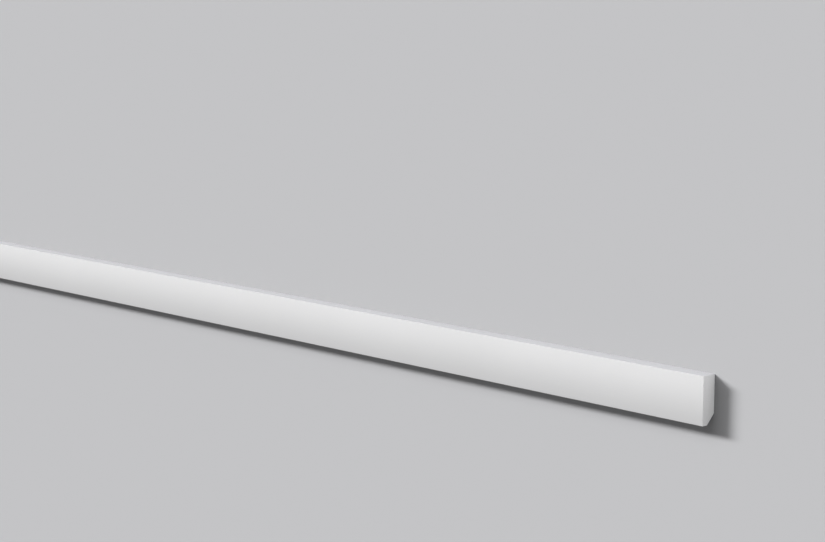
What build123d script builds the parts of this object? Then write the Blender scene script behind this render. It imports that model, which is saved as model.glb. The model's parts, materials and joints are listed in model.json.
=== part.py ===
from build123d import *
import os

# A length of square-edged skirting moulding, extruded in one piece from rigid white foam and sawn square at
# both ends. It is modelled lying on its back, as it is stored:
#   +X runs along the length, to the right for someone who faces the moulding on its wall,
#   +Y points to the top edge, which is up once the moulding is on the wall,
#   +Z points out of the front face, away from the wall.
# The origin is in the middle of the length and of the height, on the plane of the back.

# Driving dimensions in millimetres
LENGTH = 2000.0  # one length of stock, end to end
FACE_HEIGHT = 40.0  # from the bottom edge to the top edge
THICKNESS = 14.0  # from the wall to the front face
CABLE_CHAMFER_RISE = 8.5  # how far the cable chamfer climbs up the back
CABLE_CHAMFER_DEPTH = 8.5  # how far the cable chamfer cuts forward along the bottom edge
FRONT_ARRIS_RADIUS = 0.3  # on the two long edges of the front face, which are the ones that show
TOP_BACK_RADIUS = 0.3  # on the top edge at the wall
NOSE_RADIUS = 0.3  # where the chamfer meets the bottom edge
HEEL_RADIUS = 0.3  # where the chamfer meets the back


def section_outline():
    """The closed outline of the section, with Y as its first coordinate and Z as its second."""
    top = FACE_HEIGHT / 2
    bottom = -FACE_HEIGHT / 2
    corners_and_radii = [
        ((top, 0), TOP_BACK_RADIUS),
        ((top, THICKNESS), FRONT_ARRIS_RADIUS),
        ((bottom, THICKNESS), FRONT_ARRIS_RADIUS),
        ((bottom, CABLE_CHAMFER_DEPTH), NOSE_RADIUS),
        ((bottom + CABLE_CHAMFER_RISE, 0), HEEL_RADIUS),
    ]
    corners = [corner for corner, radius in corners_and_radii]
    radii = [radius for corner, radius in corners_and_radii]
    return FilletPolyline(*corners, radius=radii, close=True)


def moulding():
    """The section extruded both ways from the middle of the length."""
    section = Plane.YZ * make_face(section_outline())
    return extrude(section, LENGTH / 2, both=True)


os.makedirs("parts", exist_ok=True)
export_step(moulding(), "parts/moulding.step")
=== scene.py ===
import json
import math

import bmesh
import bpy
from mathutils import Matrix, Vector

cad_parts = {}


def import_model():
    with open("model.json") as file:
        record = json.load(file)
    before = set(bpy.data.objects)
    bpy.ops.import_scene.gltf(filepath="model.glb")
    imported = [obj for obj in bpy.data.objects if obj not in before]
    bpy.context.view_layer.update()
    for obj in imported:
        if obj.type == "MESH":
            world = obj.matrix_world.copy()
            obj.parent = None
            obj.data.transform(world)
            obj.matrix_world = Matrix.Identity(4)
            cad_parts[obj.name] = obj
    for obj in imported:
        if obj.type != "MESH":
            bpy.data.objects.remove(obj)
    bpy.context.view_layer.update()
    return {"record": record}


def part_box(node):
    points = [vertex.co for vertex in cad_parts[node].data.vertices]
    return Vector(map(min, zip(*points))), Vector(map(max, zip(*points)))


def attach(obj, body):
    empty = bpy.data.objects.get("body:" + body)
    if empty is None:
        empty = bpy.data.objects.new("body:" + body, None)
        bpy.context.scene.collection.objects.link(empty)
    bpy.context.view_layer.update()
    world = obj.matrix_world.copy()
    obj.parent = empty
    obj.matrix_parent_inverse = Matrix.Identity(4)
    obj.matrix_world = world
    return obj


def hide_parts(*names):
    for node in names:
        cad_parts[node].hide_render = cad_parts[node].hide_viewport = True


# A length of white foam skirting moulding that lies on its back on a pale floor. The axes are the CAD
# model's: +X along the moulding, +Y towards its top edge, +Z out of its front face. Sizes are in metres.

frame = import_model()
LOW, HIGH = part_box("moulding")
MOUNTS = {mount["name"]: mount for mount in frame["record"]["mounts"]}

# The moulding's own sizes
LENGTH = HIGH.x - LOW.x
FACE_HEIGHT = HIGH.y - LOW.y
THICKNESS = HIGH.z - LOW.z
CABLE_CHAMFER = 2 * MOUNTS["back_face"]["pos_m"][1]  # the back's middle is half a chamfer above the axis
LONG_EDGE_RADIUS = 0.0003
ARC_STEP = math.radians(15)  # the turn from one facet of a rounded edge to the next
SAWN_EDGE_BREAK = 0.0002  # how far the saw blunts the outline of a cut end
SAWN_EDGE_FACETS = 2
LONG_FACE_STEP = 0.010  # between the cuts across the long faces
SAWN_FACE_STEP = 0.001  # between the cuts over a sawn end
SAWN_UNEVENNESS = 0.00006  # how deep the saw's tearing goes
SAWN_TEAR_SIZE = 0.004
SMOOTH_UP_TO = math.radians(30)  # the turn between two faces past which their edge is shaded sharp
SAME_PLACE = 1e-6  # points that are this close together count as one
LENGTHWAYS_COSINE = 0.999  # past which an edge counts as lying along the moulding
FOAM_SLOT = 1  # the foam's place among the moulding's materials, after the skin

# How the patterns of both finishes are made
CLOUDY_LAYERS = 3  # of finer and finer noise, in a cloudy pattern
FINE_LAYERS = 2  # and in a pattern that is fine already
TONE_CHANGE = (0.25, 0.75)  # the part of a pattern over which its tone changes

# The skin's finish: the size of each pattern, and the range that it sets or the height of its relief
SKIN_TONES = (0.85, 0.87)
SKIN_CLOUD_SIZE = 0.070
SKIN_ROUGHNESS = (0.46, 0.60)
SKIN_SHEEN_SIZE = 0.011
DIE_LINE_LENGTH = 0.670
DIE_LINE_SPACING = 0.00077
DIE_LINE_RELIEF = 0.00003
ORANGE_PEEL_SIZE = 0.0024
ORANGE_PEEL_RELIEF = 0.00004
SKIN_GRAIN_SIZE = 0.00038
SKIN_GRAIN_RELIEF = 0.00001

# The sawn foam's finish
FOAM_TONES = (0.82, 0.88)
FOAM_MOTTLE_SIZE = 0.00056
FOAM_ROUGHNESS = 0.8
SAW_CENTRE = (0, -0.10, 0.12)  # of the round blade, when its teeth leave the arcs on a sawn end
SAW_MARK_PITCH = 0.0009
SAW_MARK_WANDER = 2.0  # how strongly the arcs stray from true circles
SAW_MARK_WANDER_SCALE = 0.5
SAW_MARK_RELIEF = 0.00004
WAVE_TURNS = 20  # how many radians the wave pattern turns for each unit of distance at a scale of 1
FOAM_CELL_SIZE = 0.00028
FOAM_CELL_RELIEF = 0.00005
FOAM_PORE_SPACING = 0.0026
FOAM_PORE_WALL = (0.05, 0.10)  # where a pore's wall starts and ends, in spacings from its middle
FOAM_PORE_RELIEF = 0.00012

# The camera, measured from the right-hand end's bottom back corner
CAMERA_PAST_END = 0.94535
CAMERA_ABOVE_BOTTOM = 0.34956
CAMERA_OUT_FROM_BACK = 1.2021
CAMERA_TURN = math.radians(47.08)  # to the left of straight at the front face
CAMERA_TILT = math.radians(8.59)  # towards the bottom edge
PHOTO_WIDTH_PIXELS = 825
FOCAL_LENGTH_PIXELS = 1969.6
SENSOR_WIDTH_MM = 36
NEAREST_SEEN, FARTHEST_SEEN = 0.05, 200

# The stage
FLOOR_SIZE = 60.0
FLOOR_GAP = 0.00005  # keeps the floor just clear of the back of the moulding
FLOOR_COLOUR = (0.32, 0.32, 0.3275)
BACKGROUND_COLOUR = (0.552, 0.552, 0.565)

# The light. A softbox is placed and sized by slopes: metres sideways for each metre up from the floor.
AMBIENT_STRENGTH = 0.31
SOFTBOX_HEIGHT = 1000.0
MAIN_SOFTBOX_SLOPE = (-1.50, 0.74)
MAIN_SOFTBOX_SPREAD = (1.20, 0.38)
MAIN_SOFTBOX_RADIANCE = 126.6
WIDE_SOFTBOX_SLOPE = (-1.10, 1.00)
WIDE_SOFTBOX_SPREAD = (3.40, 0.90)
WIDE_SOFTBOX_RADIANCE = 3.09
STRIP_LEFT, STRIP_RIGHT = -1.3, 1.2
STRIP_ABOVE_TOP = 0.008
STRIP_OUT_FROM_FACE = 0.050
STRIP_WIDTH = 0.010
STRIP_AIM = 0.005  # the height on the face that it points at, from the face's middle
STRIP_RADIANCE = 5.67
END_PANEL_PAST_END = 0.035
END_PANEL_BELOW_TOP = 0.008
END_PANEL_ABOVE_BACK = 0.006
END_PANEL_SIZE = 0.010
END_PANEL_RADIANCE = 3.65
TOP_LIGHT_TOWARDS = (-0.3, 1.0, 0.1)
TOP_LIGHT_STRENGTH = 0.364
TOP_LIGHT_COLOUR = (0.99, 0.98, 1.08)
FILL_LIGHT_TOWARDS = (-1.0, -1.0, 0.05)
FILL_LIGHT_STRENGTH = 0.25
SUN_SOFTNESS = math.radians(30)
SUN_LAMP_DISTANCE = 3.0  # where the lamp stands, which changes nothing in its light


def deselect_all():
    """Leaves no object selected or active."""
    bpy.ops.object.select_all(action="DESELECT")
    bpy.context.view_layer.objects.active = None


def choose(piece, kind, test):
    """In edit mode, selects only the vertices, edges or faces that pass a test."""
    bpy.ops.mesh.select_mode(type=kind)
    bpy.ops.mesh.select_all(action="DESELECT")
    mesh = bmesh.from_edit_mesh(piece.data)
    for item in {"VERT": mesh.verts, "EDGE": mesh.edges, "FACE": mesh.faces}[kind]:
        if test(item):
            item.select_set(True)
    mesh.select_flush_mode()
    bmesh.update_edit_mesh(piece.data)


def runs_lengthways(edge):
    """True for an edge along the moulding."""
    start, end = (vertex.co for vertex in edge.verts)
    return abs((end - start).normalized().x) > LENGTHWAYS_COSINE


def on_end(item):
    """True for an edge or face that lies flat in the plane of the right-hand end."""
    return all(abs(vertex.co.x - LENGTH / 2) < SAME_PLACE for vertex in item.verts)


def at_end(item):
    """True for a face of the right-hand end or of its blunted outline."""
    return all(vertex.co.x > LENGTH / 2 - SAWN_EDGE_BREAK - SAME_PLACE for vertex in item.verts)


def in_middle(face):
    """True for the face of the half block where the other half will join it."""
    return all(abs(vertex.co.x) < SAME_PLACE for vertex in face.verts)


def half_block():
    """The right-hand half of the moulding as a plain block that rests on its back."""
    bpy.ops.mesh.primitive_cube_add(size=1)
    block = bpy.context.object
    bpy.ops.transform.resize(value=(LENGTH / 2, FACE_HEIGHT, THICKNESS))
    bpy.ops.transform.translate(value=(LENGTH / 4, 0, THICKNESS / 2))
    bpy.ops.object.transform_apply(location=True, rotation=True, scale=True)
    return block


def bevel_long_edge(piece, y, z, offset, steps):
    """Bevels the edge along the moulding that stands at one corner of the section."""
    def at_corner(edge):
        middle = (edge.verts[0].co + edge.verts[1].co) / 2
        return runs_lengthways(edge) and abs(middle.y - y) < SAME_PLACE and abs(middle.z - z) < SAME_PLACE

    choose(piece, "EDGE", at_corner)
    bpy.ops.mesh.bevel(offset=offset, offset_type="OFFSET", segments=steps, profile=0.5, affect="EDGES")


def shape_section(piece):
    """Cuts the cable chamfer, then rounds the five long edges as the extruder's die does."""
    top, bottom = FACE_HEIGHT / 2, -FACE_HEIGHT / 2
    bevel_long_edge(piece, bottom, 0, CABLE_CHAMFER, 1)
    square, half_square = math.radians(90), math.radians(45)
    corners = [
        (top, THICKNESS, square),
        (bottom, THICKNESS, square),
        (top, 0, square),
        (bottom, CABLE_CHAMFER, half_square),
        (bottom + CABLE_CHAMFER, 0, half_square),
    ]
    for y, z, turn in corners:
        bevel_long_edge(piece, y, z, LONG_EDGE_RADIUS * math.tan(turn / 2), round(turn / ARC_STEP))


def cut_long_faces(piece):
    """Divides the long faces into short ones."""
    choose(piece, "EDGE", runs_lengthways)
    bpy.ops.mesh.subdivide(number_cuts=round(LENGTH / 2 / LONG_FACE_STEP) - 1)


def saw_end(piece):
    """Blunts the outline of the cut end, gives its face the foam's material and divides it finely."""
    choose(piece, "EDGE", on_end)
    bpy.ops.mesh.bevel(offset=SAWN_EDGE_BREAK, offset_type="OFFSET", segments=SAWN_EDGE_FACETS,
                       profile=0.5, affect="EDGES")
    choose(piece, "FACE", on_end)
    piece.active_material_index = FOAM_SLOT
    bpy.ops.object.material_slot_assign()
    for axis, start, end in ((1, LOW.y, HIGH.y), (2, LOW.z, HIGH.z)):
        for number in range(1, round((end - start) / SAWN_FACE_STEP)):
            place, normal = Vector((LENGTH / 2, 0, 0)), Vector((0, 0, 0))
            place[axis] = start + number * SAWN_FACE_STEP
            normal[axis] = 1
            choose(piece, "FACE", at_end)
            bpy.ops.mesh.bisect(plane_co=place, plane_no=normal)


def roughen_end(piece):
    """Sinks the inside of the sawn face unevenly by a few hundredths of a millimetre."""
    inner = piece.vertex_groups.new(name="sawn_face")
    skin_points, foam_points = set(), set()
    for polygon in piece.data.polygons:
        points = foam_points if polygon.material_index == FOAM_SLOT else skin_points
        points.update(polygon.vertices)
    inner.add(sorted(foam_points - skin_points), 1.0, "REPLACE")
    tearing = bpy.data.textures.new("saw_tearing", "CLOUDS")
    tearing.noise_scale = SAWN_TEAR_SIZE
    displace = piece.modifiers.new("saw_tearing", "DISPLACE")
    displace.texture = tearing
    displace.texture_coords = "LOCAL"
    displace.direction = "X"
    displace.mid_level = 1.0
    displace.strength = SAWN_UNEVENNESS
    displace.vertex_group = inner.name
    bpy.ops.object.modifier_apply(modifier=displace.name)
    piece.vertex_groups.clear()


def moulding(skin, foam):
    """The whole moulding: its right-hand half, shaped, sawn and then mirrored to the left."""
    deselect_all()
    piece = half_block()
    piece.name = piece.data.name = "white_moulding"
    piece.data.materials.append(skin)
    piece.data.materials.append(foam)
    bpy.ops.object.mode_set(mode="EDIT")
    shape_section(piece)
    choose(piece, "FACE", in_middle)
    bpy.ops.mesh.delete(type="ONLY_FACE")
    cut_long_faces(piece)
    saw_end(piece)
    bpy.ops.object.mode_set(mode="OBJECT")
    roughen_end(piece)
    mirror = piece.modifiers.new("left_half", "MIRROR")
    mirror.use_axis = (True, False, False)
    mirror.use_clip = True
    mirror.merge_threshold = SAME_PLACE
    bpy.ops.object.modifier_apply(modifier=mirror.name)
    bpy.ops.object.mode_set(mode="EDIT")
    bpy.ops.mesh.select_all(action="SELECT")
    bpy.ops.mesh.remove_doubles(threshold=SAME_PLACE)
    bpy.ops.mesh.normals_make_consistent(inside=False)
    bpy.ops.object.mode_set(mode="OBJECT")
    bpy.ops.object.shade_smooth_by_angle(angle=SMOOTH_UP_TO)
    weights = piece.modifiers.new("flat_faces_stay_flat", "WEIGHTED_NORMAL")
    weights.keep_sharp = True
    bpy.ops.object.modifier_apply(modifier=weights.name)
    return piece


def new_material(name):
    """A material with only its Principled shader and output, and the shader."""
    material = bpy.data.materials.new(name)
    material.use_nodes = True
    shader = next(node for node in material.node_tree.nodes if node.type == "BSDF_PRINCIPLED")
    return material, shader


def node(material, kind, **settings):
    """A node of a material, with its properties and its unlinked inputs set by name."""
    made = material.node_tree.nodes.new(kind)
    for name, value in settings.items():
        if hasattr(made, name):
            setattr(made, name, value)
        else:
            made.inputs[name.replace("_", " ")].default_value = value
    return made


def link(material, output, socket):
    """Joins an output to an input."""
    material.node_tree.links.new(output, socket)


def object_coordinates(material, scale=(1, 1, 1), location=(0, 0, 0)):
    """Object coordinates through a mapping."""
    coordinates = node(material, "ShaderNodeTexCoord")
    mapping = node(material, "ShaderNodeMapping")
    mapping.inputs["Location"].default_value = location
    mapping.inputs["Scale"].default_value = scale
    link(material, coordinates.outputs["Object"], mapping.inputs["Vector"])
    return mapping.outputs["Vector"]


def noise(material, vector, size=1.0, layers=FINE_LAYERS):
    """A noise pattern of a size, from about 0 to 1."""
    made = node(material, "ShaderNodeTexNoise", Scale=1 / size, Detail=layers)
    link(material, vector, made.inputs["Vector"])
    return made.outputs["Fac"]


def ranged(material, value, start=(0, 1), end=(0, 1)):
    """A value that runs over one range turned into one that runs over another."""
    made = node(material, "ShaderNodeMapRange")
    for name, limit in zip(("From Min", "From Max", "To Min", "To Max"), (*start, *end)):
        made.inputs[name].default_value = limit
    link(material, value, made.inputs["Value"])
    return made.outputs["Result"]


def bump(material, pattern, height, below=None):
    """Relief of a height, on top of any relief below it."""
    made = node(material, "ShaderNodeBump", Strength=1.0, Distance=height)
    link(material, pattern, made.inputs["Height"])
    if below:
        link(material, below, made.inputs["Normal"])
    return made.outputs["Normal"]


def tone(material, value, levels):
    """A neutral colour that goes from a darker to a lighter one over the middle of a pattern."""
    made = node(material, "ShaderNodeValToRGB")
    for stop, level, position in zip(made.color_ramp.elements, levels, TONE_CHANGE):
        stop.color = (level, level, level, 1)
        stop.position = position
    link(material, value, made.inputs["Fac"])
    return made.outputs["Color"]


def skin_material():
    """The smooth matt white skin: faint lines from the die, a fine orange peel and almost one tone."""
    material, shader = new_material("primed_white_skin")
    plain = object_coordinates(material)
    along, across = 1 / DIE_LINE_LENGTH, 1 / DIE_LINE_SPACING
    drawn = object_coordinates(material, scale=(along, across, across))
    clouds = noise(material, plain, SKIN_CLOUD_SIZE, CLOUDY_LAYERS)
    link(material, tone(material, clouds, SKIN_TONES), shader.inputs["Base Color"])
    sheen = noise(material, plain, SKIN_SHEEN_SIZE, CLOUDY_LAYERS)
    link(material, ranged(material, sheen, end=SKIN_ROUGHNESS), shader.inputs["Roughness"])
    die_lines = bump(material, noise(material, drawn, layers=CLOUDY_LAYERS), DIE_LINE_RELIEF)
    orange_peel = bump(material, noise(material, plain, ORANGE_PEEL_SIZE), ORANGE_PEEL_RELIEF, die_lines)
    grain = bump(material, noise(material, plain, SKIN_GRAIN_SIZE), SKIN_GRAIN_RELIEF, orange_peel)
    link(material, grain, shader.inputs["Normal"])
    return material


def cells(material, vector, size):
    """The distance from the middle of the nearest cell of a foam, in cells."""
    made = node(material, "ShaderNodeTexVoronoi", Scale=1 / size)
    link(material, vector, made.inputs["Vector"])
    return made.outputs["Distance"]


def saw_arcs(material):
    """Waves round the middle of the saw blade."""
    round_blade = object_coordinates(material, location=[-place for place in SAW_CENTRE])
    made = node(material, "ShaderNodeTexWave", wave_type="RINGS", rings_direction="X")
    made.inputs["Scale"].default_value = 2 * math.pi / WAVE_TURNS / SAW_MARK_PITCH
    made.inputs["Distortion"].default_value = SAW_MARK_WANDER
    made.inputs["Detail"].default_value = FINE_LAYERS
    made.inputs["Detail Scale"].default_value = SAW_MARK_WANDER_SCALE
    link(material, round_blade, made.inputs["Vector"])
    return made.outputs["Fac"]


def foam_material():
    """The sawn foam: fine closed cells, a few larger pores and the faint arcs that the saw's teeth leave."""
    material, shader = new_material("sawn_white_foam")
    plain = object_coordinates(material)
    mottle = noise(material, plain, FOAM_MOTTLE_SIZE, CLOUDY_LAYERS)
    link(material, tone(material, mottle, FOAM_TONES), shader.inputs["Base Color"])
    shader.inputs["Roughness"].default_value = FOAM_ROUGHNESS
    saw_marks = bump(material, saw_arcs(material), SAW_MARK_RELIEF)
    fine_cells = bump(material, cells(material, plain, FOAM_CELL_SIZE), FOAM_CELL_RELIEF, saw_marks)
    walls = ranged(material, cells(material, plain, FOAM_PORE_SPACING), start=FOAM_PORE_WALL)
    link(material, bump(material, walls, FOAM_PORE_RELIEF, fine_cells), shader.inputs["Normal"])
    return material


def plain_material(name, colour):
    """The floor's even matt paint."""
    material, shader = new_material(name)
    shader.inputs["Base Color"].default_value = (*colour, 1)
    shader.inputs["Roughness"].default_value = 1
    shader.inputs["Specular IOR Level"].default_value = 0
    return material


def floor():
    """A wide pale floor."""
    deselect_all()
    bpy.ops.mesh.primitive_plane_add(size=FLOOR_SIZE, location=(0, 0, -FLOOR_GAP))
    plane = bpy.context.object
    plane.name = plane.data.name = "floor"
    bpy.ops.object.transform_apply(location=True, rotation=True, scale=True)
    plane.data.materials.append(plain_material("floor_paint", FLOOR_COLOUR))
    return plane


def camera():
    """The camera at the photograph's place, turned as the photograph's was."""
    deselect_all()
    place = (HIGH.x + CAMERA_PAST_END, LOW.y + CAMERA_ABOVE_BOTTOM, LOW.z + CAMERA_OUT_FROM_BACK)
    bpy.ops.object.camera_add(location=place, rotation=(-CAMERA_TILT, CAMERA_TURN, 0))
    made = bpy.context.object
    made.data.sensor_width = SENSOR_WIDTH_MM
    made.data.lens = FOCAL_LENGTH_PIXELS / PHOTO_WIDTH_PIXELS * made.data.sensor_width
    made.data.clip_start = NEAREST_SEEN
    made.data.clip_end = FARTHEST_SEEN
    bpy.context.scene.camera = made


def lights_only(light, lit_piece):
    """Limits a light to one piece. The other piece still casts its shadow there."""
    receivers = bpy.data.collections.new(light.name + "_receivers")
    receivers.objects.link(lit_piece)
    light.light_linking.receiver_collection = receivers


def no_glow(light):
    """Keeps the light that falls on the moulding from glowing on to the floor."""
    light.data.cycles.max_bounces = 0


def sun(name, towards, strength, lit_piece, colour=(1, 1, 1)):
    """A soft sun in a direction seen from the moulding."""
    deselect_all()
    bpy.ops.object.light_add(type="SUN", location=Vector(towards).normalized() * SUN_LAMP_DISTANCE)
    made = bpy.context.object
    made.name = made.data.name = name
    made.rotation_mode = "QUATERNION"
    made.rotation_quaternion = Vector(towards).to_track_quat("Z", "Y")
    made.data.energy = strength * math.pi
    made.data.angle = SUN_SOFTNESS
    made.data.color = colour
    lights_only(made, lit_piece)
    no_glow(made)


def panel(name, shape, place, rotation, width, depth, radiance, lit_piece):
    """A glowing panel, turned from facing straight down, that the camera doesn't see."""
    deselect_all()
    bpy.ops.object.light_add(type="AREA", location=place, rotation=rotation)
    made = bpy.context.object
    made.name = made.data.name = name
    made.data.shape = shape
    made.data.size = width
    made.data.size_y = depth
    share_of_rectangle = math.pi / 4 if shape == "ELLIPSE" else 1
    made.data.energy = radiance * math.pi * width * depth * share_of_rectangle
    made.visible_camera = False
    lights_only(made, lit_piece)
    return made


def far_softbox(name, slope, spread, radiance, ground):
    """A large soft light, far off, that gives the floor its tone and the moulding its shadow."""
    place = (slope[0] * SOFTBOX_HEIGHT, slope[1] * SOFTBOX_HEIGHT, SOFTBOX_HEIGHT)
    width, depth = spread[0] * SOFTBOX_HEIGHT, spread[1] * SOFTBOX_HEIGHT
    panel(name, "ELLIPSE", place, (0, 0, 0), width, depth, radiance, ground)


def near_strip(piece):
    """The strip light close to the front face, strongest towards the top edge."""
    y = HIGH.y + STRIP_ABOVE_TOP
    place = ((STRIP_LEFT + STRIP_RIGHT) / 2, y, HIGH.z + STRIP_OUT_FROM_FACE)
    rotation = (math.atan2(STRIP_AIM - y, STRIP_OUT_FROM_FACE), 0, 0)
    length = STRIP_RIGHT - STRIP_LEFT
    no_glow(panel("near_strip", "RECTANGLE", place, rotation, length, STRIP_WIDTH, STRIP_RADIANCE, piece))


def end_panel(piece):
    """The small panel that faces the right-hand end, strongest towards its top."""
    place = (HIGH.x + END_PANEL_PAST_END, HIGH.y - END_PANEL_BELOW_TOP, LOW.z + END_PANEL_ABOVE_BACK)
    rotation = (0, math.radians(90), 0)
    size = END_PANEL_SIZE
    no_glow(panel("end_panel", "RECTANGLE", place, rotation, size, size, END_PANEL_RADIANCE, piece))


def world():
    """An even pale surround. The camera, and all that is shiny or clear, sees the background instead."""
    made = bpy.data.worlds.new("studio")
    made.use_nodes = True
    bpy.context.scene.world = made
    nodes, links = made.node_tree.nodes, made.node_tree.links
    ambient = next(item for item in nodes if item.type == "BACKGROUND")
    ambient.inputs["Color"].default_value = (1, 1, 1, 1)
    ambient.inputs["Strength"].default_value = AMBIENT_STRENGTH
    seen = nodes.new("ShaderNodeBackground")
    seen.inputs["Color"].default_value = (*BACKGROUND_COLOUR, 1)
    path = nodes.new("ShaderNodeLightPath")
    sees_it = path.outputs["Is Camera Ray"]
    for ray in ("Is Glossy Ray", "Is Transmission Ray"):
        either = nodes.new("ShaderNodeMath")
        either.operation = "MAXIMUM"
        links.new(sees_it, either.inputs[0])
        links.new(path.outputs[ray], either.inputs[1])
        sees_it = either.outputs["Value"]
    mix = nodes.new("ShaderNodeMixShader")
    output = next(item for item in nodes if item.type == "OUTPUT_WORLD")
    links.new(sees_it, mix.inputs["Fac"])
    links.new(ambient.outputs["Background"], mix.inputs[1])
    links.new(seen.outputs["Background"], mix.inputs[2])
    links.new(mix.outputs["Shader"], output.inputs["Surface"])


piece = moulding(skin_material(), foam_material())
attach(piece, "root")
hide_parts("moulding")
ground = floor()
world()
far_softbox("main_softbox", MAIN_SOFTBOX_SLOPE, MAIN_SOFTBOX_SPREAD, MAIN_SOFTBOX_RADIANCE, ground)
far_softbox("wide_softbox", WIDE_SOFTBOX_SLOPE, WIDE_SOFTBOX_SPREAD, WIDE_SOFTBOX_RADIANCE, ground)
near_strip(piece)
end_panel(piece)
sun("top_light", TOP_LIGHT_TOWARDS, TOP_LIGHT_STRENGTH, piece, TOP_LIGHT_COLOUR)
sun("fill_light", FILL_LIGHT_TOWARDS, FILL_LIGHT_STRENGTH, piece)
camera()

bpy.context.scene.view_settings.view_transform = "Standard"
